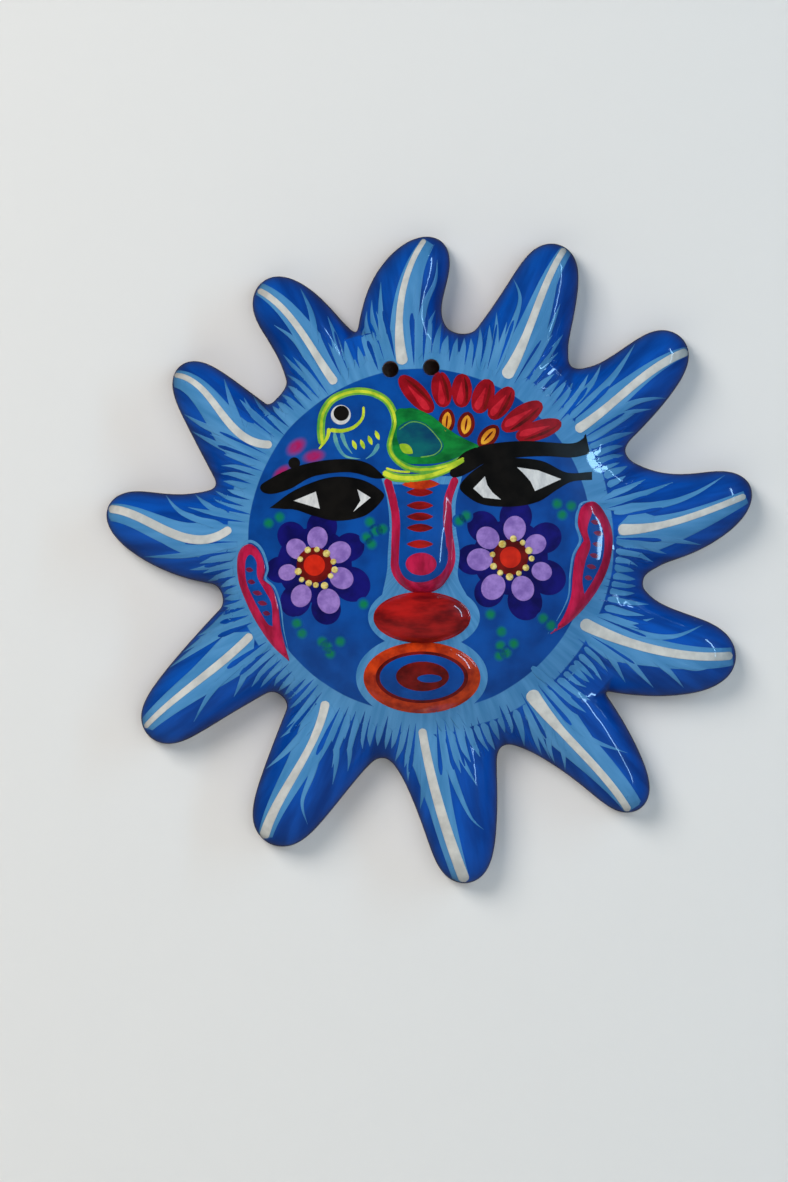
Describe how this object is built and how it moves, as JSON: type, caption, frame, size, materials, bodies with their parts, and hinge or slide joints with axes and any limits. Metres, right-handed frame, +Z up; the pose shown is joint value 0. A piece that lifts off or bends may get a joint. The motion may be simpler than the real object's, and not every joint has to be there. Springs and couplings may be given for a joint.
{
  "type": "ceramic sun face wall plaque",
  "caption": "Hand-built clay sun for a wall: a hollow-backed domed face dish with puffy rays, nose, lips and ears luted on, two hanging holes at the top.",
  "frame": {"origin": "on the wall plane, midway between the two hanging holes", "axes": "+Y into the wall, square to the flat foot ring; the face looks along -Y; +Z up as it hangs; +X to the right seen from the front"},
  "size_m": [0.3561, 0.06, 0.3566],
  "materials": {
    "face_glaze": "brush-painted cobalt and light blue under a clear glossy lacquer, bare fired clay behind",
    "ray_glaze": "brush-painted cobalt with light-blue feathering and a white ridge stroke, glossy lacquer",
    "nose_glaze": "magenta outline and red dabs on cobalt, glossy lacquer",
    "lip_red": "brushed deep red, glossy lacquer",
    "lip_orange": "orange-red rings round a cobalt band, glossy lacquer",
    "ear_glaze": "magenta outline round a cobalt leaf, glossy lacquer"
  },
  "bodies": {
    "root": {"face_dish": "face_glaze", "nose": "nose_glaze", "upper_lip": "lip_red", "lower_lip": "lip_orange", "ear_left": "ear_glaze", "ear_right": "ear_glaze", "ray_01": "ray_glaze", "ray_02": "ray_glaze", "ray_03": "ray_glaze", "ray_04": "ray_glaze", "ray_05": "ray_glaze", "ray_06": "ray_glaze", "ray_07": "ray_glaze", "ray_08": "ray_glaze", "ray_09": "ray_glaze", "ray_10": "ray_glaze", "ray_11": "ray_glaze", "ray_12": "ray_glaze"}
  },
  "joints": []
}
